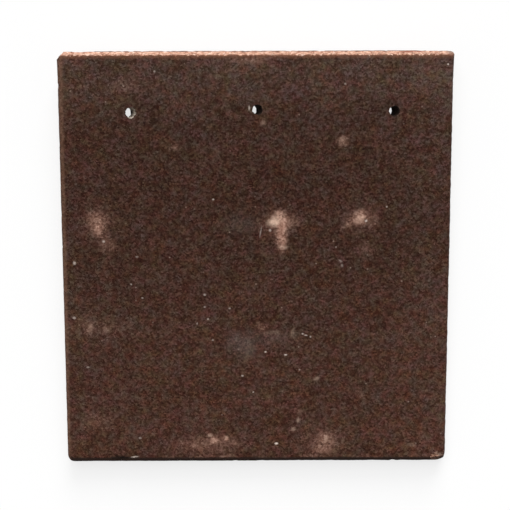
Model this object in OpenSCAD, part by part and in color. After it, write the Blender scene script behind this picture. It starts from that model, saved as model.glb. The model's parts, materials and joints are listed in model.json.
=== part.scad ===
// Concrete plain roof tile, tile-and-a-half size, lying weather face up.
// One casting: a flat slab with three nail holes through it, and a hanging nib under its head.
// It lies as it does on a level floor, on the tip of its nib and on the lower arris of its tail.
// X runs across the tile and +Y points to its head. The origin is on the floor, under the middle
// of the tile's box.

/* [Slab] */
// Width of the tile
tile_w = 248; // [200:1:330]
// Length of the tile, along its underside
tile_l = 267; // [200:1:360]
// Thickness of the slab
slab_t = 12.5; // [10:0.5:16]
// How far the head of the face is set back from the head of the underside
head_rake = 1.2; // [0:0.1:3]
// Radius of the arrises along the two sides of the face
side_arris_r = 2.5; // [0.5:0.1:4]
// Radius of every other arris
arris_r = 0.8; // [0.3:0.1:1.5]

/* [Corners] */
// Length across the tile of the corner broken off its head
broken_x = 3.5; // [1:0.5:10]
// Length along the tile of the corner broken off its head
broken_y = 4; // [1:0.5:10]
// Length across the tile, in the face, of the chip out of its tail's right corner
chip_x = 12.5; // [3:0.5:16]
// Length along the tile, in the face, of the chip out of its tail's right corner
chip_y = 5.5; // [3:0.5:16]
// Lean of the chip from upright: it takes more of the face than of what lies below
chip_lean = 45; // [10:1:60]
// Radius of the left corner of the tail
tail_left_r = 4.5; // [1:0.5:10]
// Radius of the right corner of the tail
tail_right_r = 5.5; // [1:0.5:10]
// Radius of the sound corner of the head
head_corner_r = 1; // [0.5:0.5:5]

/* [Nail holes] */
// Diameter of the nail holes
hole_d = 6.4; // [5:0.1:8]
// Distance from the head of the face to the left hole
hole_inset_left = 36; // [25:0.5:60]
// Distance from the head of the face to the middle hole
hole_inset_middle = 34.5; // [25:0.5:60]
// Distance from the head of the face to the right hole
hole_inset_right = 35.5; // [25:0.5:60]
// Place of the middle hole, to the right of the tile's centre line
hole_middle_x = 1; // [-10:0.5:10]
// Spacing across the tile from the left hole to the middle hole
hole_spacing_left = 79.5; // [40:0.5:95]
// Spacing across the tile from the middle hole to the right hole
hole_spacing_right = 86; // [40:0.5:95]
// How much each hole's mouth in the face flares out, on each side of the hole
mouth_flare = 0.6; // [0.2:0.1:1.5]
// Depth of the flared mouth
mouth_depth = 1; // [0.5:0.1:2]

/* [Hanging nib] */
// How far the nib stands below the underside
nib_depth = 10; // [6:0.5:16]
// Length of the nib's root, along the tile
nib_l = 13; // [10:0.5:20]
// How far the nib's side nearest the head slopes back, from its root to its tip
nib_slope = 0.3; // [0:0.1:2]
// Distance from the head of the underside to the nib's root
nib_setback = 0.2; // [0.1:0.1:3]
// Inset of the nib from the left side of the tile
nib_inset_left = 19; // [5:0.5:60]
// Inset of the nib from the right side of the tile
nib_inset_right = 13; // [5:0.5:60]
// How much shorter the nib's tip is than its root at each end, across the tile
nib_end_taper = 4; // [1:0.5:8]
// Radius of the fillet between the underside and the nib's batten face
nib_fillet_r = 1.5; // [0.5:0.1:3]

/* [Hidden] */
$fn = 64;
concrete_brown = "#4a352d";
arc_steps = 6; // straight pieces in a quarter round
reach = 1;     // how far a cutting shape runs past what it cuts

// Middles of the arris rounds in the lengthwise section, as [y, z] from the underside
tail_low = [-tile_l / 2 + arris_r, arris_r];
tail_top = [-tile_l / 2 + arris_r, slab_t - arris_r];
head_low = [tile_l / 2 - arris_r, arris_r];
head_top = head_low + [-head_rake, slab_t - 2 * arris_r];
head_slant = atan2(head_rake, slab_t - 2 * arris_r);
face_head_y = tile_l / 2 - head_rake;

// Middles of the nail holes, as [x, y]
hole_places = [
    [hole_middle_x - hole_spacing_left, face_head_y - hole_inset_left],
    [hole_middle_x, face_head_y - hole_inset_middle],
    [hole_middle_x + hole_spacing_right, face_head_y - hole_inset_right]
];

// The nib's section: its batten face is square to the underside, its head side slopes
nib_head_y = tile_l / 2 - nib_setback;
nib_batten_y = nib_head_y - nib_l;
nib_low = [nib_batten_y + arris_r, arris_r - nib_depth];
nib_far = [nib_head_y - nib_slope - arris_r, arris_r - nib_depth];
nib_root_z = arris_r;
nib_left_x = -tile_w / 2 + nib_inset_left;
nib_right_x = tile_w / 2 - nib_inset_right;

// The tile leans on its nib: both rounds that it lies on have the same radius
rest_tilt = atan2(tail_low[1] - nib_low[1], nib_low[0] - tail_low[0]);
floor_lift = arris_r - tail_low[0] * sin(rest_tilt) - tail_low[1] * cos(rest_tilt);

// How far a round's edge reaches towards the head (side = 1) or the tail (side = -1), as it lies
function reach_y(middle, side) =
    middle[0] * cos(rest_tilt) - middle[1] * sin(rest_tilt) + side * arris_r;
box_head_y = max(reach_y(head_low, 1), reach_y(nib_far, 1));
box_tail_y = reach_y(tail_top, -1);

// Points of an arc, from one angle to another
function arc(middle, r, from, to) = [
    for (i = [0:arc_steps])
        let (a = from + (to - from) * i / arc_steps) middle + r * [cos(a), sin(a)]
];

// Lengthwise section of the slab, in Y and Z
module long_section() {
    polygon(concat(
        arc(tail_low, arris_r, 180, 270),
        arc(head_low, arris_r, 270, 360 + head_slant),
        arc(head_top, arris_r, head_slant, 90),
        arc(tail_top, arris_r, 90, 180)
    ));
}

// Section of the slab across the tile, in X and Z
module cross_section() {
    low_x = tile_w / 2 - arris_r;
    top_x = tile_w / 2 - side_arris_r;
    polygon(concat(
        arc([-low_x, arris_r], arris_r, 180, 270),
        arc([low_x, arris_r], arris_r, 270, 360),
        arc([top_x, slab_t - side_arris_r], side_arris_r, 0, 90),
        arc([-top_x, slab_t - side_arris_r], side_arris_r, 90, 180)
    ));
}

// Outline of the tile seen from above, with the head's left corner broken off
module outline() {
    side_x = tile_w / 2;
    end_y = tile_l / 2;
    polygon(concat(
        arc([-side_x + tail_left_r, -end_y + tail_left_r], tail_left_r, 180, 270),
        arc([side_x - tail_right_r, -end_y + tail_right_r], tail_right_r, 270, 360),
        arc([side_x - head_corner_r, end_y - head_corner_r], head_corner_r, 0, 90),
        [[-side_x + broken_x, end_y], [-side_x, end_y - broken_y]]
    ));
}

// Extrudes a section in Y and Z across the tile, from one X to another
module across(from_x, to_x) {
    translate([from_x, 0, 0])
        rotate([90, 0, 90])
            linear_extrude(to_x - from_x)
                children();
}

// Extrudes a section in X and Z along the tile, from one Y to another
module along(from_y, to_y) {
    translate([0, to_y, 0])
        rotate([90, 0, 0])
            linear_extrude(to_y - from_y)
                children();
}

module slab() {
    intersection() {
        across(-tile_w / 2, tile_w / 2) long_section();
        along(-tile_l / 2, tile_l / 2) cross_section();
        linear_extrude(slab_t) outline();
    }
}

// Section of the nib in Y and Z, from inside the slab down to the tip
module nib_section() {
    polygon(concat(
        [[nib_head_y, nib_root_z], [nib_batten_y - nib_fillet_r, nib_root_z]],
        arc([nib_batten_y - nib_fillet_r, -nib_fillet_r], nib_fillet_r, 90, 0),
        arc(nib_low, arris_r, 180, 270),
        arc(nib_far, arris_r, 270, 360),
        [[nib_head_y, 0]]
    ));
}

// Section of the nib in X and Z, which tapers its two ends
module nib_ends() {
    polygon([
        [nib_left_x, nib_root_z],
        [nib_left_x, 0],
        [nib_left_x + nib_end_taper, -nib_depth],
        [nib_right_x - nib_end_taper, -nib_depth],
        [nib_right_x, 0],
        [nib_right_x, nib_root_z]
    ]);
}

module nib() {
    intersection() {
        across(nib_left_x, nib_right_x) nib_section();
        along(nib_batten_y - nib_fillet_r, nib_head_y) nib_ends();
    }
}

// One nail hole: a straight bore with a flared mouth in the face
module nail_hole() {
    translate([0, 0, -reach])
        cylinder(d = hole_d, h = slab_t + 2 * reach);
    mouth_slope = mouth_flare / mouth_depth;
    mouth_h = mouth_depth + reach;
    translate([0, 0, slab_t - mouth_depth])
        cylinder(r1 = hole_d / 2, r2 = hole_d / 2 + mouth_slope * mouth_h, h = mouth_h);
}

module nail_holes() {
    for (place = hole_places)
        translate([place[0], place[1], 0])
            nail_hole();
}

// The chip: a block whose near side leans out across the tail's right corner from the face
module tail_chip() {
    depth = slab_t + 2 * reach;
    length = chip_x + chip_y;
    translate([tile_w / 2 - chip_x, -tile_l / 2, slab_t])
        rotate([0, 0, atan2(chip_y, chip_x)])
            rotate([-chip_lean, 0, 0])
                translate([-length, -length, -depth])
                    cube([3 * length, length, 2 * depth]);
}

module roof_tile() {
    tile_shift = [0, -(box_head_y + box_tail_y) / 2, floor_lift];
    color(concrete_brown)
        translate(tile_shift)
            rotate([rest_tilt, 0, 0])
                difference() {
                    union() {
                        slab();
                        nib();
                    }
                    nail_holes();
                    tail_chip();
                }
}

roof_tile();
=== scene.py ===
import json
import math
from types import SimpleNamespace

import bmesh
import bpy
import numpy
from mathutils import Matrix, Vector, noise


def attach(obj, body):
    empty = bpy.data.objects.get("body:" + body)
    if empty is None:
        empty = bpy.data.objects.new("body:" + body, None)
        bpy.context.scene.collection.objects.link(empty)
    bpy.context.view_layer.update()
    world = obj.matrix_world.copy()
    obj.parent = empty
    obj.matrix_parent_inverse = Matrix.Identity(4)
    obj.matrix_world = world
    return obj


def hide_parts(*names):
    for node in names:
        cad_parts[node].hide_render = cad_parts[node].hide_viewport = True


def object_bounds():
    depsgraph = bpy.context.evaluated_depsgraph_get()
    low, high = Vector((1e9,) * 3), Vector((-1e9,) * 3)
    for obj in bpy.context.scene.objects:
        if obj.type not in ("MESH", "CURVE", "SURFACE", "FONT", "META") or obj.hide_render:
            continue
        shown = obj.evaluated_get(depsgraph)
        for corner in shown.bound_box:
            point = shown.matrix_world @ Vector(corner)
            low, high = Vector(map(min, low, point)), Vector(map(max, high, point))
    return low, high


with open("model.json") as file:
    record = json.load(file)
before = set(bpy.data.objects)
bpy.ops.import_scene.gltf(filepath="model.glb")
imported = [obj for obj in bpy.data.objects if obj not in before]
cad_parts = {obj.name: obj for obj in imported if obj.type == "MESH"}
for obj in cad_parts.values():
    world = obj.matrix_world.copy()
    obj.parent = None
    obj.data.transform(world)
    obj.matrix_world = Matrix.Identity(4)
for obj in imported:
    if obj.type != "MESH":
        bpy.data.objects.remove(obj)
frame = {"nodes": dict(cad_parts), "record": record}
cad_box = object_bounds()

# The tile's own frame, in millimetres: u across to its right, v towards its head, w up from its
# underside. TILE takes a point from there to the row frame, in metres.
MM = 0.001
mounts = {mount["name"]: mount for mount in frame["record"]["mounts"]}
FACE_NORMAL = Vector(mounts["weather_face"]["axis"]).normalized()
ORIGIN = Vector(mounts["underside"]["pos_m"])
REST_TILT = math.atan2(-FACE_NORMAL.y, FACE_NORMAL.z)
TO_ROW = Matrix.Translation(ORIGIN) @ Matrix.Rotation(REST_TILT, 4, "X")
TILE = TO_ROW @ Matrix.Scale(MM, 4)

# Sizes of the casting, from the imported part
ARRIS_R = 0.8           # every arris but the two along the sides of the face
SIDE_ARRIS_R = 2.5
HEAD_RAKE = 1.2         # how far the head of the face is set back
TAIL_LEFT_R = 4.5       # corners of the outline
TAIL_RIGHT_R = 5.5
HEAD_RIGHT_R = 1.0
BREAK = (3.5, 4.0)      # corner broken off the head, across and along
CHIP = (12.5, 5.5)      # chip out of the face at the tail's right corner, across and along
CHIP_LEAN = 45.0
MOUTH_FLARE = 0.6       # flare of a nail hole at the face, on each side
MOUTH_DEPTH = 1.0
NIB_END_TAPER = 4.0
NIB_SETBACK = 0.2       # from the head of the underside to the nib's root
NIB_SLOPE = 0.3         # of the nib's side nearest the head, from root to tip
NIB_FILLET_R = 1.5

box_size = (cad_box[1] - cad_box[0]) / MM
THICK = (Vector(mounts["weather_face"]["pos_m"]) - ORIGIN).dot(FACE_NORMAL) / MM
HALF_W = box_size.x / 2
flat_length = box_size.y - 2 * ARRIS_R - (THICK - 2 * ARRIS_R) * math.sin(REST_TILT)
HALF_L = flat_length / math.cos(REST_TILT) / 2 + ARRIS_R
FACE_HEAD_V = HALF_L - HEAD_RAKE


def in_tile(point):
    """A point of the row frame, in metres, as (u, v, w) in millimetres."""
    return TILE.inverted() @ Vector(point)


HOLES = [in_tile(mounts[f"nail_hole_{side}"]["pos_m"]) for side in ("left", "middle", "right")]
HOLE_R = mounts["nail_hole_middle"]["dims"]["r_mm"]

# The nib: where its batten face is, how deep it hangs and where its tip ends
batten = in_tile(mounts["nib_batten_face"]["pos_m"])
nib_round_z = ARRIS_R - ORIGIN.z / MM - (batten.y + ARRIS_R) * math.sin(REST_TILT)
NIB_DEPTH = ARRIS_R - nib_round_z / math.cos(REST_TILT)
NIB_HEAD_V = HALF_L - NIB_SETBACK
nib_tip = [in_tile(v.co).x for v in frame["nodes"]["roof_tile"].data.vertices
           if in_tile(v.co).z < 0.1 - NIB_DEPTH]
NIB_LEFT = min(nib_tip) - NIB_END_TAPER
NIB_RIGHT = max(nib_tip) + NIB_END_TAPER

# Slots of the raw mesh, which say what made each face
CAST, BROKEN, BORED, WEATHERED = range(4)


# ---------------------------------------------------------------- camera

FOCAL = 112.3           # on Blender's 36 mm sensor
VIEW_TILT = math.radians(11.75)   # from the face's normal, towards the head
VIEW_ROLL = math.radians(-0.16)
VIEW_AXIS = Vector((-0.63, FACE_HEAD_V - 127.26, THICK))    # where the camera's axis meets the face
VIEW_DISTANCE = 1015.0  # from there


def make_camera():
    """Looks down on the face from the head's side, as the photograph does."""
    data = bpy.data.cameras.new("camera")
    data.lens = FOCAL
    data.clip_start = 0.01
    data.clip_end = 50
    camera = bpy.data.objects.new("camera", data)
    bpy.context.scene.collection.objects.link(camera)
    square_on = Matrix.Translation(TILE @ VIEW_AXIS) @ TO_ROW.to_3x3().to_4x4()
    lean = Matrix.Rotation(-VIEW_TILT, 4, "X") @ Matrix.Rotation(VIEW_ROLL, 4, "Z")
    away = Matrix.Translation((0, 0, VIEW_DISTANCE * MM))
    camera.matrix_world = square_on @ lean @ away
    bpy.context.scene.camera = camera


# ---------------------------------------------------------------- the casting's mesh

CELL = 1.02             # of the weather face's grid
COARSE = 3              # face cells to one cell of the underside
TAIL_ARRIS_R = 1.8      # the tail's upper arris, which is worn rounder than it was cast
ARC_STEPS = 4
WALL_STEPS = 7
LOW_STEPS = 2
HEAD_ZONE = (118, 130)  # v over which the sides' relief gives way to the head end's
HOLE_LEAN = (-3.8, -1.4)    # how far the foot of each hole lies off its mouth
NIB_GAP = 1.4           # between the points of the nib's mesh
NIB_SUNK = 2.0          # how far the nib's mesh reaches up into the slab
NIB_INSIDE = 0.6        # how far its sunk edge lies inside the head
BLOCK_CUTS = 22         # of each edge of a block that breaks a corner off
FRACTURE = 0.35         # how far a block's surface is shaken
BREAK_LEAN = 1.0        # of the broken corner's surface, in degrees


def smooth(x, low, high):
    """0 at low and 1 at high, with soft ends. Low may be the greater of the two."""
    t = max(0.0, min(1.0, (x - low) / (high - low)))
    return t * t * (3 - 2 * t)


def wave(p, size, shift=0.0):
    """Smooth noise from 0 to 1, with features of a size in millimetres."""
    return 0.5 + 0.5 * noise.noise(Vector((p[0] / size + shift, p[1] / size - shift, p[2] / size + 7.1)))


def face_relief(p):
    """How deep the weather face lies under the mould's plane: slow waves, grains and pits."""
    depth = 0.14 * wave(p, 19) + 0.10 * wave(p, 7, 3.3) + 0.12 * wave(p, 2.3, 11.7)
    depth += 0.10 * wave(p, 1.1, 5.9)
    depth += 0.30 * smooth(wave(p, 2.9, 23.1), 0.68, 0.80)
    return depth


def edge_relief(p, roughness):
    """How far an edge or end lies inside the outline: waves, and small spalls along it."""
    depth = 0.30 * wave(p, 11, 31.5) + 0.35 * wave(p, 3.6, 17.3) + 0.20 * wave(p, 1.5, 41.9)
    depth += 0.5 * smooth(wave(p, 4.7, 53.7), 0.70, 0.84)
    return depth * roughness


def ring_profile(radius):
    """Section of an edge from the face down to the underside, as (inset, height)."""
    points = []
    for step in range(ARC_STEPS + 1):
        a = math.pi / 2 * step / ARC_STEPS
        points.append((radius * (1 - math.sin(a)), THICK - radius * (1 - math.cos(a))))
    top = THICK - radius
    for step in range(1, WALL_STEPS + 1):
        points.append((0.0, top + (ARRIS_R - top) * step / WALL_STEPS))
    for step in range(1, LOW_STEPS + 1):
        a = math.pi / 2 * step / LOW_STEPS
        points.append((ARRIS_R * (1 - math.cos(a)), ARRIS_R * (1 - math.sin(a))))
    return points


def rounded(u, v):
    """Pulls a point in where the outline's corners are round."""
    for corner_u, corner_v, radius in ((-HALF_W, -HALF_L, TAIL_LEFT_R), (HALF_W, -HALF_L, TAIL_RIGHT_R),
                                       (HALF_W, HALF_L, HEAD_RIGHT_R)):
        side_u, side_v = math.copysign(1, corner_u), math.copysign(1, corner_v)
        du = (u - corner_u) * side_u + radius
        dv = (v - corner_v) * side_v + radius
        if du > 0 and dv > 0:
            pull = max(du, dv) / math.hypot(du, dv)
            u = corner_u + side_u * (du * pull - radius)
            v = corner_v + side_v * (dv * pull - radius)
    return u, v


def slab_mesh():
    """The slab as one closed grid: a fine face, rings round its edges and a coarse underside."""
    columns = COARSE * round(2 * (HALF_W - SIDE_ARRIS_R) / (COARSE * CELL))
    rows = COARSE * round(2 * (HALF_L - ARRIS_R) / (COARSE * CELL))
    side, head, tail = (ring_profile(radius) for radius in (SIDE_ARRIS_R, ARRIS_R, TAIL_ARRIS_R))
    loop = [(i, 0) for i in range(columns)] + [(columns, j) for j in range(rows)]
    loop += [(i, rows) for i in range(columns, 0, -1)] + [(0, j) for j in range(rows, 0, -1)]
    points, faces = [], []

    def place(i, j, ring):
        """The point of a ring at a grid place, where the ends' section passes into the sides'."""
        s, t = 2 * i / columns - 1, j / rows
        end = head if 2 * j > rows else tail
        near_side = min(i, columns - i)
        near_end = min(j, rows - j)
        to_end = 0.5 + 0.5 * smooth(near_side, 0, COARSE) - 0.5 * smooth(near_end, 0, COARSE)
        w = end[ring][1] * to_end + side[ring][1] * (1 - to_end)
        half_u = HALF_W - side[ring][0]
        rake = HEAD_RAKE * max(0.0, min(1.0, (end[ring][1] - ARRIS_R) / (THICK - 2 * ARRIS_R)))
        low_v = -HALF_L + end[ring][0]
        high_v = HALF_L - rake - end[ring][0]
        u, v = rounded(s * half_u, low_v + (high_v - low_v) * t)
        return Vector((u, v, w))

    def on_edge(i, j, ring):
        """A point of the outline's rings, moved in by the relief of the face and of the edges."""
        point = place(i, j, ring)
        out = Vector((0, 0, 0))
        if i in (0, columns):
            out.x = math.copysign(1, point.x)
        if j in (0, rows):
            out.y = math.copysign(1, point.y)
        out.normalize()
        turn = math.pi / 2 * min(1.0, ring / ARC_STEPS)
        if ring > ARC_STEPS + WALL_STEPS:
            turn += math.pi / 2 * (ring - ARC_STEPS - WALL_STEPS) / LOW_STEPS
        out = out * math.sin(turn) + Vector((0, 0, math.cos(turn)))
        at_head = smooth(point.y, *HEAD_ZONE)
        side_roughness = 1.0 if point.x > 0 else 0.6
        worn = edge_relief(point, side_roughness * (1 - 0.8 * at_head))
        worn += 1.1 * at_head * smooth(point.z, 9, 4) * smooth(wave(point, 2.7, 65.3), 0.56, 0.72)
        low = smooth(point.z, 0.0, 2.0)
        depth = face_relief(point) * max(0.0, math.cos(turn)) + worn * math.sin(turn) * (0.35 + 0.65 * low)
        return point - out * depth

    def number(i, j):
        return j * (columns + 1) + i

    for j in range(rows + 1):
        for i in range(columns + 1):
            if i in (0, columns) or j in (0, rows):
                points.append(on_edge(i, j, 0))
            else:
                point = place(i, j, 0)
                point.z = THICK - face_relief(point)
                points.append(point)
    for j in range(rows):
        for i in range(columns):
            faces.append((number(i, j), number(i + 1, j), number(i + 1, j + 1), number(i, j + 1)))

    above = [number(i, j) for i, j in loop]
    for ring in range(1, len(side)):
        below = list(range(len(points), len(points) + len(loop)))
        points += [on_edge(i, j, ring) for i, j in loop]
        for k in range(len(loop)):
            after = (k + 1) % len(loop)
            faces.append((above[k], below[k], below[after], above[after]))
        above = below

    # The underside joins every third point of the last ring
    ring_index = dict(zip(loop, above))
    low_index = {}
    last = len(side) - 1
    for j in range(COARSE, rows, COARSE):
        for i in range(COARSE, columns, COARSE):
            low_index[i, j] = len(points)
            point = place(i, j, last)
            point.z = 0.10 * wave(point, 21, 61.3) + 0.06 * wave(point, 6, 71.9)
            points.append(point)

    def along_outline(here, there):
        same_side = here[0] == there[0] and here[0] in (0, columns)
        same_end = here[1] == there[1] and here[1] in (0, rows)
        return same_side or same_end

    for j in range(0, rows, COARSE):
        for i in range(0, columns, COARSE):
            corners = [(i, j), (i, j + COARSE), (i + COARSE, j + COARSE), (i + COARSE, j)]
            cell = []
            for here, there in zip(corners, corners[1:] + corners[:1]):
                cell.append(low_index[here] if here in low_index else ring_index[here])
                if along_outline(here, there):
                    di, dj = (there[0] - here[0]) // COARSE, (there[1] - here[1]) // COARSE
                    cell += [ring_index[here[0] + di * n, here[1] + dj * n] for n in range(1, COARSE)]
            faces.append(tuple(cell))
    return solid("slab", points, faces, CAST)


def solid(name, points, faces, slot):
    """A mesh object in the tile's frame, with the raw mesh's slots."""
    mesh = bpy.data.meshes.new(name)
    mesh.from_pydata([tuple(p) for p in points], [], faces)
    for raw in RAW:
        mesh.materials.append(raw)
    mesh.polygons.foreach_set("material_index", [slot] * len(mesh.polygons))
    made = bpy.data.objects.new(name, mesh)
    bpy.context.scene.collection.objects.link(made)
    return made


def arc(middle, radius, start, stop, steps=3):
    return [(middle[0] + radius * math.cos(math.radians(start + (stop - start) * k / steps)),
             middle[1] + radius * math.sin(math.radians(start + (stop - start) * k / steps)))
            for k in range(steps + 1)]


def spaced(outline, gap):
    """The closed outline with points added, so that none are further apart than the gap."""
    filled = []
    for here, there in zip(outline, outline[1:] + outline[:1]):
        parts = max(1, math.ceil(math.dist(here, there) / gap))
        filled += [(here[0] + (there[0] - here[0]) * k / parts, here[1] + (there[1] - here[1]) * k / parts)
                   for k in range(parts)]
    return filled


def tube_faces(around, lengths):
    """Faces of a tube of rings of points, one after another, with both its ends closed."""
    faces = []
    for length in range(lengths):
        for k in range(around):
            here, after = length * around + k, length * around + (k + 1) % around
            faces.append((here, after, after + around, here + around))
    faces.append(tuple(reversed(range(around))))
    faces.append(tuple(lengths * around + k for k in range(around)))
    return faces


def nib_mesh():
    """The hanging nib, rough as it left its pocket in the mould, and sunk a little into the slab."""
    batten_v = batten.y
    fillet_v = batten_v - NIB_FILLET_R
    section = [(NIB_HEAD_V - NIB_INSIDE, NIB_SUNK), (fillet_v, NIB_SUNK)]
    section += arc((fillet_v, -NIB_FILLET_R), NIB_FILLET_R, 90, 0)
    section += arc((batten_v + ARRIS_R, ARRIS_R - NIB_DEPTH), ARRIS_R, 180, 270)
    section += arc((NIB_HEAD_V - NIB_SLOPE - ARRIS_R, ARRIS_R - NIB_DEPTH), ARRIS_R, 270, 360)
    section = spaced(section, NIB_GAP)
    middle_v = (batten_v + NIB_HEAD_V) / 2
    stations = round((NIB_RIGHT - NIB_LEFT) / NIB_GAP)
    points = []
    for station in range(stations + 1):
        share = station / stations
        for v, w in section:
            taper = NIB_END_TAPER * max(0.0, -w) / NIB_DEPTH
            left, right = NIB_LEFT + taper, NIB_RIGHT - taper
            p = Vector((left + (right - left) * share, v, w))
            inwards = 0.5 * smooth(wave(p, 2.6, 91.7), 0.50, 0.75)
            inwards += 0.5 * smooth(wave(p, 6.1, 97.3), 0.55, 0.8)
            if w < NIB_SUNK:
                p.y += math.copysign(inwards, middle_v - v) * smooth(-w, -1.0, 1.0)
                p.z += 0.3 * inwards * smooth(-w, NIB_DEPTH - 2, NIB_DEPTH)
            if station in (0, stations):
                p.x += math.copysign(0.5 * wave(p, 3, 13.7), 0.5 - share)
            points.append(p)
    return solid("nib", points, tube_faces(len(section), stations), BROKEN)


def hole_mesh(hole):
    """A cutter for one nail hole, rough inside. Its foot leans left, as the photograph shows it."""
    rings, around = 18, 40
    low, high = -1.5, THICK + 1.2   # past both faces
    points = []
    for ring in range(rings + 1):
        w = low + (high - low) * ring / rings
        flare = 0.5 * MOUTH_FLARE * smooth(w, THICK - 1.6 * MOUTH_DEPTH, THICK + 0.2)
        drift = Vector(HOLE_LEAN) * smooth(THICK - w, 1.0, THICK)
        for k in range(around):
            a = 2 * math.pi * k / around
            p = Vector((hole.x + math.cos(a) * HOLE_R, hole.y + math.sin(a) * HOLE_R, w))
            rough = 1.1 * (wave(p, 2.4, 101.3) - 0.5) + 0.6 * (wave(p, 1.0, 107.1) - 0.5)
            r = HOLE_R + flare + rough
            middle_u, middle_v = hole.x + drift.x, hole.y + drift.y
            points.append(Vector((middle_u + math.cos(a) * r, middle_v + math.sin(a) * r, w)))
    return solid("hole", points, tube_faces(around, rings), BORED)


def stretched_by(point, factors):
    return Vector([part * factor for part, factor in zip(point, factors)])


def bmesh_solid(name, made, slot):
    """A mesh object like those of solid(), from a bmesh, which is freed."""
    points = [vertex.co.copy() for vertex in made.verts]
    faces = [tuple(vertex.index for vertex in face.verts) for face in made.faces]
    made.free()
    return solid(name, points, faces, slot)


def rough_block(size, place, slot):
    """A box cut into small faces and shaken, whose sides leave a fractured surface."""
    made = bmesh.new()
    bmesh.ops.create_cube(made, size=1.0)
    bmesh.ops.subdivide_edges(made, edges=made.edges[:], cuts=BLOCK_CUTS, use_grid_fill=True)
    for vertex in made.verts:
        vertex.co = place @ stretched_by(vertex.co, size)
        shake = Vector([wave(vertex.co, 1.9, shift) - 0.5 for shift in (3.1, 37.7, 59.3)])
        shake += 0.5 * Vector([wave(vertex.co, 0.8, shift) - 0.5 for shift in (8.3, 29.9, 67.1)])
        vertex.co += 2 * FRACTURE * shake
    return bmesh_solid("block", made, slot)


def corner_cutter(corner_u, corner_v, size, level, lean, slot):
    """Takes a corner off. Its near side cuts off the stated size at one level, and leans inwards above."""
    toward = Vector((math.copysign(1, corner_u), math.copysign(1, corner_v), 0))
    normal = Vector((toward.x * size[1], toward.y * size[0], 0)).normalized()
    across_end = Vector((corner_u - toward.x * size[0], corner_v, level))
    along_end = Vector((corner_u, corner_v - toward.y * size[1], level))
    depth, width, height = 8.0, 18.0, 2 * THICK + 8.0   # of a block that reaches well past the corner
    turn = Matrix.Rotation(math.atan2(normal.y, normal.x), 4, "Z")
    turn = turn @ Matrix.Rotation(math.radians(-lean), 4, "Y")
    place = Matrix.Translation((across_end + along_end) / 2) @ turn @ Matrix.Translation((depth / 2, 0, 0))
    return rough_block((depth, width, height), place, slot)


def spall_cutter(middle, radii, slot):
    """A rough lump that leaves a shallow shell-shaped spall."""
    middle = Vector(middle)
    made = bmesh.new()
    bmesh.ops.create_icosphere(made, subdivisions=4, radius=1.0)
    for vertex in made.verts:
        p = middle + stretched_by(vertex.co, radii)
        reach = 1 + 0.5 * (wave(p, 1.7, 43.3) - 0.5) + 0.3 * (wave(p, 0.8, 47.9) - 0.5)
        vertex.co = middle + (p - middle) * reach
    return bmesh_solid("spall", made, slot)


def combined(target, other, operation):
    """Target joined with other, or with other cut out of it, as a new mesh on target."""
    modifier = target.modifiers.new("combine", "BOOLEAN")
    modifier.object = other
    modifier.operation = operation
    modifier.solver = "MANIFOLD"
    evaluated = target.evaluated_get(bpy.context.evaluated_depsgraph_get())
    mesh = bpy.data.meshes.new_from_object(evaluated)
    target.modifiers.clear()
    target.data = mesh
    bpy.data.objects.remove(other)


NOTCH_U = -89.0         # middle of the spall in the tail's arris
SPALLS = (              # middle, radii and slot of the small spalls along the tail's arris
    ((HALF_W - 4.4, -HALF_L + 2.8, THICK + 0.7), (6.0, 3.8, 2.4), WEATHERED),
    ((NOTCH_U, -HALF_L - 1.0, THICK + 0.6), (6.2, 6.2, 2.6), CAST),
    ((NOTCH_U + 9.0, -HALF_L + 1.6, THICK + 0.5), (2.4, 1.3, 0.9), CAST),
)


# Marks on the weather face: u, v, half width, half length, turn in degrees and strength.
WORN = (        # the pink concrete shows through the coat
    (15.5, 27.5, 4.5, 4.5, 0, 0.58), (16, 17.5, 2.8, 8.5, 0, 0.84), (15, 26, 11, 7, 0, 0.16),
    (23, 27, 4, 3, 0, 0.14), (15.5, 32, 1.5, 2.5, 0, 0.30),
    (-100, 26, 5, 5, 0, 0.36), (-100, 21.5, 3, 3.5, 0, 0.40), (-104, 30, 3.5, 3, 0, 0.22),
    (-100, 26, 10, 12, 0, 0.10), (-95, 12, 5, 4.5, -30, 0.16),
    (66, 29, 4, 4, 0, 0.66), (66, 28, 10, 7, 0, 0.14), (59, 25, 4, 2, 35, 0.18),
    (75, 27, 3, 3.5, 0, 0.15), (70, 9, 4, 3.5, 0, 0.12), (55, 78, 3.5, 3, 0, 0.36),
    (3, -42, 3, 2, 0, 0.28), (-108, -43, 2.5, 3, 0, 0.22), (-112, -39, 2.5, 2.5, 0, 0.16),
    (-96, -43, 2, 2, 0, 0.16), (-101, -43, 16, 6, 0, 0.08),
    (-28, -119, 2, 2, 0, 0.62), (-20, -118, 1.2, 1.6, 0, 0.80), (-41, -123, 2.5, 1.5, 0, 0.34),
    (-33, -122, 20, 6, 0, 0.13), (-36, -120, 6, 2.5, 0, 0.14), (-24, -119, 8, 3, 0, 0.14),
    (-14, -120, 2.5, 1.5, 0, 0.20), (-49, -120, 1.5, 1.5, 0, 0.20), (44, -121, 7, 6, 0, 0.22),
    (45, -118, 4, 3, 0, 0.22), (42, -125, 3.5, 2, 0, 0.30), (43, -119, 14, 9, 0, 0.10),
    (-102, -106, 10, 5, 0, 0.12), (-84, 113, 9, 3.5, 0, 0.12), (-51, 74, 4, 1.5, 0, 0.20),
    (67, -88, 2.5, 2.5, 0, 0.18), (28, -99, 3, 1.5, 0, 0.16), (-3, 129, 11, 1.5, 0, 0.30),
    (-57, -130, 4, 0.7, 0, 0.20), (-38, -130, 5, 0.7, 0, 0.20), (-23, -130, 8, 0.7, 0, 0.22),
    (37, -130, 7, 0.7, 0, 0.25), (73, -130, 10, 0.7, 0, 0.20), (108, -130, 5, 0.7, 0, 0.14),
)
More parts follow.
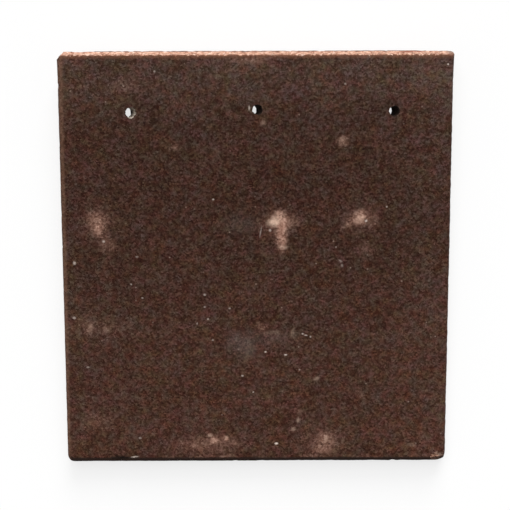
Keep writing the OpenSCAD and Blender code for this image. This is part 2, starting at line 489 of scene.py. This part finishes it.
BLOOM = (       # pale lime
    (11, 26.5, 3.5, 2.5, 25, 0.64), (14, 29, 4, 3, 30, 0.22), (17, 10, 3, 1, 3, 0.34),
    (66, 28, 3, 2.5, 0, 0.28), (57, 24, 2, 1, 35, 0.10), (55, 79, 2, 1.5, 0, 0.14),
    (6, -47, 2.5, 1, 0, 0.10), (12, -46, 3, 1, 0, 0.12), (24, -46, 1, 2.5, -15, 0.16),
    (40, -77, 1.4, 1, 20, 0.28), (-30, -115, 1.5, 0.8, -10, 0.38), (-20, -117, 1, 1, 0, 0.38),
    (-28, -119, 1, 1, 0, 0.22), (45, -118, 1.2, 1.5, 0, 0.38), (24, -112, 1.4, 1, 0, 0.32),
    (27, -106, 1, 1.2, 0, 0.38), (101, -122, 2, 1, 0, 0.14), (-107, -43, 1.5, 2, 0, 0.10),
    (5, 90, 1, 1.5, 0, 0.16), (16, -85, 1, 1, 0, 0.18),
)
SMEAR = (       # grey, faint and wide
    (-8, -54, 8, 8, 0, 0.11), (-5, -58, 4, 5, 20, 0.11), (-15, -50, 6, 4, 0, 0.07),
    (13, -49, 13, 4, 0, 0.07), (-10, 25, 9, 6, 0, 0.08),
)
SWAY = 1.8              # how strongly a mark's outline wanders


def painted(points, spots, softness):
    """How strongly a set of soft marks covers each point of the mesh, from 0 up."""
    cover = numpy.zeros(len(points))
    for u, v, across, along, turn, strength in spots:
        a = math.radians(turn)
        du, dv = points[:, 0] - u, points[:, 1] - v
        distance = numpy.hypot((du * math.cos(a) + dv * math.sin(a)) / across,
                               (dv * math.cos(a) - du * math.sin(a)) / along)
        t = numpy.clip((1 + softness - distance) / (2 * softness), 0, 1)
        cover += strength * t * t * (3 - 2 * t)
    return cover


def paint_marks(mesh):
    """Stores the marks as attributes of a mesh that is still in the tile's frame."""
    swayed = []
    for vertex in mesh.vertices:
        p = vertex.co
        across = wave(p, 2.6, 101.3) - 0.5 + 1.5 * (wave(p, 7.3, 107.9) - 0.5)
        along = wave(p, 2.6, 113.7) - 0.5 + 1.5 * (wave(p, 7.3, 127.1) - 0.5)
        swayed.append((p.x + SWAY * across, p.y + SWAY * along))
    swayed = numpy.array(swayed)
    for name, spots, softness in (("worn", WORN, 0.75), ("bloom", BLOOM, 0.7), ("smear", SMEAR, 0.85)):
        layer = mesh.attributes.new(name, "FLOAT", "POINT")
        layer.data.foreach_set("value", painted(swayed, spots, softness))


def make_casting():
    tile = slab_mesh()
    combined(tile, nib_mesh(), "UNION")
    cutters = [hole_mesh(hole) for hole in HOLES]
    cutters.append(corner_cutter(-HALF_W, HALF_L, BREAK, 0.0, BREAK_LEAN, WEATHERED))
    cutters.append(corner_cutter(HALF_W, -HALF_L, CHIP, THICK, CHIP_LEAN, WEATHERED))
    cutters += [spall_cutter(*spall) for spall in SPALLS]
    for cutter in cutters:
        combined(tile, cutter, "DIFFERENCE")
    tile.name = "tile_casting"
    mesh = tile.data
    mesh.name = "tile_casting"
    for name, shares in (("broken", {BROKEN: 1.0, WEATHERED: 0.75}), ("bored", {BORED: 1.0})):
        layer = mesh.attributes.new(name, "FLOAT", "CORNER")
        values = [0.0] * len(mesh.loops)
        for polygon in mesh.polygons:
            for index in polygon.loop_indices:
                values[index] = shares.get(polygon.material_index, 0.0)
        layer.data.foreach_set("value", values)
    paint_marks(mesh)
    mesh.materials.clear()
    mesh.transform(TILE)
    mesh.shade_smooth()
    mesh.set_sharp_from_angle(angle=math.radians(55))
    return tile


# ---------------------------------------------------------------- node helpers

def srgb(red, green, blue):
    """A colour given as it shows on screen, 0 to 255, for a shader."""
    def linear(c):
        c /= 255
        return c / 12.92 if c <= 0.04045 else ((c + 0.055) / 1.055) ** 2.4
    return (linear(red), linear(green), linear(blue), 1.0)


class Graph:
    """Adds nodes to a material's or world's tree. Each method returns an output socket."""

    def __init__(self, owner):
        owner.use_nodes = True
        self.tree = owner.node_tree
        self.tree.nodes.clear()

    def node(self, kind, inputs, **settings):
        made = self.tree.nodes.new(kind)
        for name, value in settings.items():
            setattr(made, name, value)
        for key, value in inputs.items():
            if isinstance(value, bpy.types.NodeSocket):
                self.tree.links.new(value, made.inputs[key])
            else:
                made.inputs[key].default_value = value
        return made

    def math(self, operation, a, b=0.0, clamp=False):
        return self.node("ShaderNodeMath", {0: a, 1: b}, operation=operation, use_clamp=clamp).outputs[0]

    def multiply_add(self, a, b, c):
        return self.node("ShaderNodeMath", {0: a, 1: b, 2: c}, operation="MULTIPLY_ADD").outputs[0]

    def product(self, *factors):
        value = factors[0]
        for factor in factors[1:]:
            value = self.math("MULTIPLY", value, factor)
        return value

    def total(self, *terms):
        """Sum of (weight, socket) pairs, each socket taken as its distance from 0.5."""
        value = 0.0
        for weight, socket in terms:
            value = self.math("ADD", self.multiply_add(socket, weight, -0.5 * weight), value)
        return value

    def step(self, value, low, high):
        """0 below low, 1 above high, and smooth between. With low above high it falls instead."""
        ends = {"Value": value, "From Min": low, "From Max": high, "To Min": 0.0, "To Max": 1.0}
        if low > high:
            ends.update({"From Min": high, "From Max": low, "To Min": 1.0, "To Max": 0.0})
        return self.node("ShaderNodeMapRange", ends, interpolation_type="SMOOTHSTEP").outputs[0]

    def mix(self, factor, a, b, kind="MIX"):
        made = self.node("ShaderNodeMix", {0: factor, 6: a, 7: b}, data_type="RGBA", blend_type=kind)
        return made.outputs[2]

    def noise(self, where, size, detail=1.0, roughness=0.5, shift=0.0):
        """Noise around 0.5, with features of a size in millimetres."""
        moved = self.node("ShaderNodeVectorMath", {0: where, 1: (shift, -shift, shift)}, operation="ADD")
        made = self.node("ShaderNodeTexNoise", {"Vector": moved.outputs[0], "Scale": 1 / size,
                                                "Detail": detail, "Roughness": roughness})
        return made.outputs[0]

    def cells(self, where, size):
        """Voronoi cells of a size in millimetres: (distance, random colour)."""
        made = self.node("ShaderNodeTexVoronoi", {"Vector": where, "Scale": 1 / size})
        return made.outputs["Distance"], made.outputs["Color"]

    def split(self, vector):
        return self.node("ShaderNodeSeparateXYZ", {0: vector}).outputs

    def joined(self, x, y):
        return self.node("ShaderNodeCombineXYZ", {0: x, 1: y}).outputs[0]

    def length(self, vector):
        return self.node("ShaderNodeVectorMath", {0: vector}, operation="LENGTH").outputs["Value"]

    def spread(self, value, low, high, to_low=0.0, to_high=1.0):
        """The value taken evenly from one range to another, and held at its ends."""
        ends = {"Value": value, "From Min": low, "From Max": high, "To Min": to_low, "To Max": to_high}
        return self.node("ShaderNodeMapRange", ends).outputs[0]

    def ramp(self, value, stops):
        made = self.node("ShaderNodeValToRGB", {0: value})
        elements = made.color_ramp.elements
        elements[0].position, elements[0].color = stops[0]
        elements[1].position, elements[1].color = stops[-1]
        for position, colour in stops[1:-1]:
            elements.new(position).color = colour
        return made.outputs[0]

    def attribute(self, name):
        return self.node("ShaderNodeAttribute", {}, attribute_name=name).outputs["Fac"]


# ---------------------------------------------------------------- the concrete

# Single pale grains on the weather face, as the marks above
GRAINS = (
    (-31, -37, 0.6, 0.5, 0, 0.45), (6, -59, 0.6, 0.4, 0, 0.85), (19, -61, 0.9, 0.4, 0, 0.80),
    (-9, -75, 0.7, 0.5, 0, 0.50), (-2, -86, 0.5, 0.5, 0, 0.45), (30, -47, 0.6, 0.5, 0, 0.60),
    (32, -48, 1.0, 0.4, -10, 0.50), (35, -49, 0.5, 0.6, 0, 0.45), (13, -121, 1.0, 0.6, 0, 1.00),
    (-117, -36, 0.9, 0.7, 0, 0.45), (-80, -14, 0.5, 0.5, 0, 0.40), (-73, -23, 0.7, 0.5, 0, 0.32),
    (-109, -69, 1.0, 0.5, 0, 0.28), (-63, 122, 0.6, 0.6, 0, 0.30), (-4, 99, 0.5, 1.3, 0, 0.50),
    (56, 114, 0.6, 0.6, 0, 0.30), (120, 126, 0.5, 0.5, 0, 0.80), (-27, 41, 0.6, 0.5, 0, 0.55),
    (-97, 14, 0.8, 0.7, 0, 0.50), (-76, 4, 0.9, 0.5, 0, 0.26), (-116, 0, 0.8, 1.0, 0, 0.58),
    (83, 36, 0.5, 0.5, 0, 0.45), (70, 27, 0.7, 0.7, 0, 0.80), (51, 10, 0.5, 0.5, 0, 0.22),
    (54, 1, 1.2, 0.5, -35, 0.22), (55, -2, 0.7, 0.9, 0, 0.20), (9, 21, 0.7, 0.8, 0, 0.50),
    (3, 20, 0.4, 3.0, -10, 0.28), (-76, -117, 0.8, 0.6, 0, 0.30), (-80, -130, 2.2, 0.5, 8, 0.60),
    (-33, -21, 0.7, 0.6, 0, 0.42), (-33, -29, 0.6, 0.5, 0, 0.30), (-38, -40, 0.4, 0.7, 0, 0.32),
    (-28, -51, 0.6, 0.5, 0, 0.34), (-17, -30, 0.7, 0.5, 0, 0.30), (28, -71, 0.5, 0.5, 0, 0.28),
)

GLOSS_LIGHT = 0.003     # what the coat's faint gloss adds to each colour under this light
LEAST = 0.0005          # of each part of the coat's colour
LEVELS = 128.0          # the ramp of the coat's tones runs from level 0 to this one
PLAIN_LEVEL = 53        # at which the coat has its full hue
COAT_HUE = (17.0, -4.3, -13.2)  # red, green and blue of the coat, less its level of brightness
BARE_TONES = (          # the bare concrete's paste and sand
    (0.00, (96, 56, 42)), (0.25, (150, 102, 82)), (0.50, (192, 146, 123)),
    (0.75, (212, 172, 150)), (1.00, (232, 206, 190)),
)
WORN_TONES = ((0.0, (112, 76, 62)), (0.5, (160, 119, 102)), (1.0, (202, 164, 146)))
HEAD_TO_TAIL = (        # level of the coat from the tail, 0, to the head, 1
    (0.00, 45), (0.03, 50), (0.07, 52.5), (0.14, 51), (0.22, 50), (0.31, 51), (0.41, 48), (0.51, 45.5),
    (0.58, 44.5), (0.67, 44), (0.74, 45.5), (0.83, 46.5), (0.875, 49), (0.92, 56), (0.97, 57), (1.00, 56),
)
LEFT_TO_RIGHT = ((0.0, 1.0), (0.1, 0.0), (0.80, 0.0), (0.93, 4.0), (1.0, 5.0))  # added to it
STAIN_U = 98.0          # middle of the reddish stain on the head's end


def coat_tones():
    """Stops of the coat's ramp, from its darkest pore to its palest grain."""
    stops = []
    for level in (0, 16, 28, 40, 52, 64, 80, 100, LEVELS):
        strength = 0.85 + 0.15 * level / PLAIN_LEVEL
        shown = srgb(*(max(0.0, level + part * strength) for part in COAT_HUE))
        parts = tuple(max(LEAST, part - GLOSS_LIGHT) for part in shown[:3])
        stops.append((level / LEVELS, parts + (1.0,)))
    return stops


def grey_stops(points):
    return [(at, (level / LEVELS,) * 3 + (1.0,)) for at, level in points]


def colour_stops(tones):
    return [(at, srgb(*tone)) for at, tone in tones]


def tile_place(g):
    """The shaded point in the tile's frame: where, its parts u, v and w, and u and v as shares."""
    where = g.node("ShaderNodeTexCoord", {}).outputs["Object"]
    where = g.node("ShaderNodeMapping", {"Vector": where, "Location": ORIGIN, "Rotation": (REST_TILT, 0, 0),
                                         "Scale": (MM, MM, MM)}, vector_type="TEXTURE").outputs[0]
    u, v, w = g.split(where)
    return SimpleNamespace(where=where, u=u, v=v, w=w, across=g.spread(u, -HALF_W, HALF_W),
                           along=g.spread(v, -HALF_L, HALF_L))


def shared_noise(g, at):
    """The noises that several layers of the concrete use."""
    distance, colour = g.cells(at.where, 1.15)
    tone, tint, rare = g.split(colour)
    fine = g.noise(at.where, 0.55, 2, 0.6, 3.7)
    medium = g.noise(at.where, 1.9, 2, 0.7, 9.1)
    stretch = {0: at.where, 1: (0.22, 1, 1)}
    stretched = g.node("ShaderNodeVectorMath", stretch, operation="MULTIPLY").outputs[0]
    return SimpleNamespace(
        grain_distance=distance, grain_tone=tone, grain_tint=tint, grain_rare=rare,
        fine=fine, medium=medium, mottle=g.noise(at.where, 5.5, 2, 0.7, 15.3),
        stretched=stretched, drawn=g.noise(stretched, 2.2, 2, 0.6, 71.3),
        ragged=g.total((2.4, g.noise(at.where, 3.2, 3, 0.7, 45.7)), (1.6, medium), (1.0, fine)),
        breakup=g.total((0.5, tone), (1.0, fine), (0.8, medium)))


def plain_coat(g, at, by):
    """The brown coat: slow changes of level, grain at every scale, and patches of other tints."""
    slow = g.ramp(at.along, grey_stops(HEAD_TO_TAIL))
    slow = g.math("ADD", slow, g.ramp(at.across, grey_stops(LEFT_TO_RIGHT)))
    cloud = g.noise(at.where, 21.0, 2, 0.7, 27.9)
    grain = g.total((36 / LEVELS, by.grain_tone), (74 / LEVELS, by.fine), (32 / LEVELS, by.medium),
                    (26 / LEVELS, by.mottle), (20 / LEVELS, cloud), (12 / LEVELS, by.drawn))
    coat = g.ramp(g.math("ADD", slow, grain), coat_tones())

    plain = (0.5, (1, 1, 1, 1))
    red = g.total((1.55, g.noise(at.where, 4.6, 0, 0.5, 33.3)), (1.05, g.noise(at.where, 14, 1, 0.5, 39.1)),
                  (0.1, by.grain_tint))
    red = g.ramp(g.math("ADD", red, 0.5, clamp=True),
                 ((0.0, (0.90, 1.10, 1.06, 1)), plain, (1.0, (1.12, 0.88, 0.90, 1))))
    blue = g.total((1.1, g.noise(at.where, 4.6, 0, 0.5, 57.3)), (1.4, g.noise(at.where, 12, 1, 0.5, 63.1)),
                   (0.1, by.grain_rare))
    blue = g.ramp(g.math("ADD", blue, 0.5, clamp=True),
                  ((0.0, (1.02, 1.00, 0.76, 1)), plain, (1.0, (0.98, 1.00, 1.20, 1))))
    ends = g.ramp(at.along, ((0.0, (1.055, 0.97, 0.92, 1)), plain, (1.0, (0.97, 1.02, 1.06, 1))))
    for tint in (red, blue, ends):
        coat = g.mix(1.0, coat, tint, "MULTIPLY")
    return coat


def marks(g, where, spots, softness):
    """How strongly a set of marks covers a place, from 0 up."""
    cover = 0.0
    for u, v, across, along, turn, strength in spots:
        local = g.node("ShaderNodeMapping", {"Vector": where, "Location": (u, v, 0),
                                             "Rotation": (0, 0, math.radians(turn)),
                                             "Scale": (across, along, 1)}, vector_type="TEXTURE")
        spot = g.step(g.length(local.outputs[0]), 1 + softness, 1 - softness)
        cover = g.multiply_add(spot, strength, cover)
    return cover


def broken_up(g, by, cover, share):
    """A soft cover made grainy, 0 to 1."""
    return g.math("MULTIPLY", cover, g.multiply_add(by.breakup, share, 1.0), clamp=True)


def marked_coat(g, at, by, coat):
    """The coat with its worn, smeared and limy places, and single pale grains."""
    worn_colour = g.ramp(g.math("ADD", by.breakup, 0.5), colour_stops(WORN_TONES))
    coat = g.mix(broken_up(g, by, g.attribute("worn"), 0.6), coat, worn_colour)
    coat = g.mix(broken_up(g, by, g.attribute("smear"), 0.8), coat, srgb(128, 120, 114))
    coat = g.mix(broken_up(g, by, g.attribute("bloom"), 0.6), coat, srgb(224, 190, 168))
    grains = marks(g, g.joined(at.u, at.v), GRAINS, 0.75)
    coat = g.mix(broken_up(g, by, grains, 0.2), coat, srgb(222, 204, 192))
    stray_distance, stray_colour = g.cells(at.where, 5.5)
    rare = g.step(g.split(stray_colour)[0], 0.80, 1.0)
    stray = g.product(g.step(stray_distance, 0.13, 0.05), rare, 0.5)
    return g.mix(stray, coat, srgb(170, 146, 132))


def edged_coat(g, at, by, coat):
    """The coat thin behind the head, with painted light on a paler strip along the left side, and paler
    along the right side.
    """
    thin = g.step(g.math("ADD", at.v, by.ragged), FACE_HEAD_V - 3.4, FACE_HEAD_V - 0.6)
    coat = g.mix(g.product(thin, 0.45), coat, srgb(134, 88, 66))
    wavy_u = g.math("ADD", at.u, g.product(by.ragged, 0.6))
    # Painted light: a paler strip along the left side, wider towards the head, as the side turned to the
    # light shows
    widening = g.spread(at.v, -HALF_L, HALF_L, 0.0, 1.6)
    left = g.step(g.math("SUBTRACT", wavy_u, widening), 3.2 - HALF_W, 1.2 - HALF_W)
    coat = g.mix(broken_up(g, by, g.product(left, 0.40), 1.1), coat, srgb(124, 92, 74))
    right = g.step(wavy_u, HALF_W - 1.6, HALF_W + 0.2)
    return g.mix(g.product(right, 0.35), coat, srgb(124, 108, 104))


def bare_cover(g, at, by):
    """Where the concrete is bare: the head end, the underside and nib, and what is broken."""
    chipped = g.product(by.ragged, 1.7)
    head = g.step(g.math("ADD", at.v, chipped), FACE_HEAD_V - 0.5, FACE_HEAD_V + 0.3)
    under = g.step(g.math("ADD", at.w, by.ragged), 1.2, 0.2)
    return g.math("MAXIMUM", g.math("MAXIMUM", head, under), g.attribute("broken"))


def bare_concrete(g, at, by):
    """Pink paste and sand with rusty blotches, painted shade under the head, with a stain on the head's
    end.
    """
    sand = g.split(g.cells(at.where, 0.9)[1])[0]
    blotch = g.noise(at.where, 2.4, 3, 0.7, 51.1)
    tone = g.total((0.45, sand), (1.2, by.fine), (1.8, blotch), (0.9, by.mottle))
    bare = g.ramp(g.math("ADD", tone, 0.52), colour_stops(BARE_TONES))
    rust = g.step(g.noise(at.where, 2.9, 3, 0.7, 83.7), 0.56, 0.68)
    bare = g.mix(g.product(rust, 0.55), bare, srgb(150, 90, 68))

    # Painted shade in the corner under the head, along the nib's root, broken into streaks
    under_head_painted_shade = g.product(g.step(at.w, 2.6, 0.2), g.step(at.v, HALF_L - 3.0, HALF_L - 1.2),
                           g.step(at.u, NIB_LEFT - 2.0, NIB_LEFT + 1.0))
    streaks = g.step(g.noise(by.stretched, 2.6, 2, 0.6, 19.1), 0.36, 0.60)
    bare = g.mix(g.product(under_head_painted_shade, g.multiply_add(streaks, 0.50, 0.5)), bare, srgb(84, 56, 46))

    right_end = g.step(g.math("ADD", at.u, by.ragged), HALF_W - 6.0, HALF_W - 1.5)
    bare = g.mix(g.product(right_end, 0.75), bare, srgb(106, 84, 74))
    from_stain = g.math("ABSOLUTE", g.math("SUBTRACT", at.u, STAIN_U))
    stain = g.product(g.step(from_stain, 9.0, 5.0), g.step(at.w, 8.0, 4.0), g.step(at.w, -1.0, 1.0),
                      g.step(by.drawn, 0.42, 0.54), 0.8)
    return g.mix(stain, bare, srgb(122, 62, 48))


def tail_shade(g, at, by):
    """Painted shade along the tail's upper arris and round its two corners, reaching further in at the
    spall's notch, 0 to 1.
    """
    radius = 0.5 * (TAIL_LEFT_R + TAIL_RIGHT_R)
    past_side = g.math("MAXIMUM", g.math("SUBTRACT", g.math("ABSOLUTE", at.u), HALF_W - radius), 0.0)
    past_end = g.math("MAXIMUM", g.math("SUBTRACT", radius - HALF_L, at.v), 0.0)
    reach = g.math("SUBTRACT", g.length(g.joined(past_side, past_end)), g.product(by.ragged, 0.4))
    notch = g.step(g.math("ABSOLUTE", g.math("SUBTRACT", at.u, NOTCH_U)), 7.0, 3.0)
    reach = g.math("ADD", reach, g.product(notch, 3.0))
    return g.product(g.step(reach, radius - 3.5, radius - 2.6), g.step(past_end, 0.5, 2.0),
                     g.step(at.u, 1.2 - HALF_W, 3.4 - HALF_W), g.step(at.w, THICK - 5.0, THICK - 3.0), 0.88)


def bore_painted_light_and_shade(g, at):
    """Painted shade, dark on the holes' walls, but for the left hole, where painted light makes all but the
    left of the wall pale.
    """
    left, middle = HOLES[0].x, HOLES[1].x
    # Painted light on the left hole's wall, which faces away from the left
    painted_light = g.product(g.step(at.u, left - 2.6, left - 0.8), g.step(at.u, middle - 20.0, left + 20.0))
    return g.mix(painted_light, srgb(34, 22, 16), srgb(206, 194, 180))


def concrete_material():
    material = bpy.data.materials.new("brown_coated_concrete")
    g = Graph(material)
    at = tile_place(g)
    by = shared_noise(g, at)

    coat = marked_coat(g, at, by, plain_coat(g, at, by))
    pore_distance, pore_colour = g.cells(at.where, 3.1)
    pore = g.product(g.step(pore_distance, 0.17, 0.08), g.step(g.split(pore_colour)[1], 0.45, 0.6))
    coat = g.mix(g.product(pore, 0.75), coat, srgb(26, 14, 9))
    coat = edged_coat(g, at, by, coat)

    colour = g.mix(bare_cover(g, at, by), coat, bare_concrete(g, at, by))
    # Near-black painted shade along the tail's arris
    colour = g.mix(tail_shade(g, at, by), colour, srgb(30, 20, 16))
    # Painted shade in the holes, and painted light on the left hole's wall
    bored = g.product(g.attribute("bored"), g.step(at.w, THICK - 0.4, THICK - 1.3), 0.94)
    colour = g.mix(bored, colour, bore_painted_light_and_shade(g, at))

    height = g.total((0.5, by.grain_distance), (0.8, by.fine), (0.6, by.medium))
    height = g.math("SUBTRACT", height, g.product(pore, 0.6))
    bump = g.node("ShaderNodeBump", {"Strength": 0.6, "Distance": 0.3 * MM, "Height": height}).outputs[0]
    roughness = g.math("ADD", g.total((0.25, by.medium), (0.1, by.grain_tint)), 0.9, clamp=True)
    surface = g.node("ShaderNodeBsdfPrincipled", {"Base Color": colour, "Roughness": roughness,
                                                  "Specular IOR Level": 0.15, "Normal": bump})
    g.node("ShaderNodeOutputMaterial", {"Surface": surface.outputs[0]})
    return material


# ---------------------------------------------------------------- floor, light and view

FLOOR_HALF = 4.0
FLOOR_GLOW = 0.75       # share of the floor's white that the tile's shadow can't take away


def sight(g):
    """1 for what the camera sees directly or by way of gloss or glass, else 0."""
    path = g.node("ShaderNodeLightPath", {}).outputs
    seen = g.math("MAXIMUM", path["Is Camera Ray"], path["Is Glossy Ray"])
    return g.math("MAXIMUM", seen, path["Is Transmission Ray"])


def make_floor():
    corners = [(x * FLOOR_HALF, y * FLOOR_HALF, 0) for x, y in ((-1, -1), (1, -1), (1, 1), (-1, 1))]
    mesh = bpy.data.meshes.new("floor")
    mesh.from_pydata(corners, [], [(0, 1, 2, 3)])
    floor = bpy.data.objects.new("floor", mesh)
    bpy.context.scene.collection.objects.link(floor)
    material = bpy.data.materials.new("white_floor")
    g = Graph(material)
    pale = g.node("ShaderNodeBsdfDiffuse", {"Color": (0.8, 0.8, 0.8, 1)}).outputs[0]
    shaded = g.node("ShaderNodeBsdfDiffuse", {"Color": (1, 1, 1, 1)}).outputs[0]
    white = g.node("ShaderNodeEmission", {"Strength": 1.0}).outputs[0]
    seen = g.node("ShaderNodeMixShader", {0: FLOOR_GLOW, 1: shaded, 2: white}).outputs[0]
    above = g.node("ShaderNodeMixShader", {0: sight(g), 1: pale, 2: seen}).outputs[0]
    below = g.node("ShaderNodeBsdfTransparent", {}).outputs[0]
    behind = g.node("ShaderNodeNewGeometry", {}).outputs["Backfacing"]
    both = g.node("ShaderNodeMixShader", {0: behind, 1: above, 2: below}).outputs[0]
    g.node("ShaderNodeOutputMaterial", {"Surface": both})
    mesh.materials.append(material)


SKY = 0.30              # light from all round, as a share of the plain level
LAMPS = (               # name, share of the plain level, elevation, azimuth from the head, softness
    ("key", 0.34, 52.0, 12.0, 40.0),
    ("back", 0.36, 24.0, -6.0, 30.0),
)


def make_light():
    world = bpy.data.worlds.new("studio")
    bpy.context.scene.world = world
    g = Graph(world)
    light = g.node("ShaderNodeBackground", {"Color": (1, 1, 1, 1), "Strength": SKY}).outputs[0]
    white = g.node("ShaderNodeBackground", {"Color": (1, 1, 1, 1), "Strength": 1.0}).outputs[0]
    sky = g.node("ShaderNodeMixShader", {0: sight(g), 1: light, 2: white}).outputs[0]
    g.node("ShaderNodeOutputWorld", {"Surface": sky})
    for name, share, elevation, azimuth, softness in LAMPS:
        data = bpy.data.lights.new(name, "SUN")
        data.energy = share * math.pi / math.sin(math.radians(elevation))
        data.angle = math.radians(softness)
        lamp = bpy.data.objects.new(name, data)
        turn = Matrix.Rotation(math.radians(azimuth), 4, "Z")
        lamp.matrix_world = turn @ Matrix.Rotation(math.radians(elevation - 90), 4, "X")
        bpy.context.scene.collection.objects.link(lamp)


# ---------------------------------------------------------------- the scene

RAW = [bpy.data.materials.new(name) for name in ("cast", "broken", "bored", "weathered")]
make_camera()
casting = make_casting()
for raw in RAW:
    bpy.data.materials.remove(raw)
casting.data.materials.append(concrete_material())
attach(casting, "root")
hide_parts("roof_tile")
make_floor()
make_light()
bpy.context.scene.view_settings.view_transform = "Standard"

bpy.context.view_layer.update()
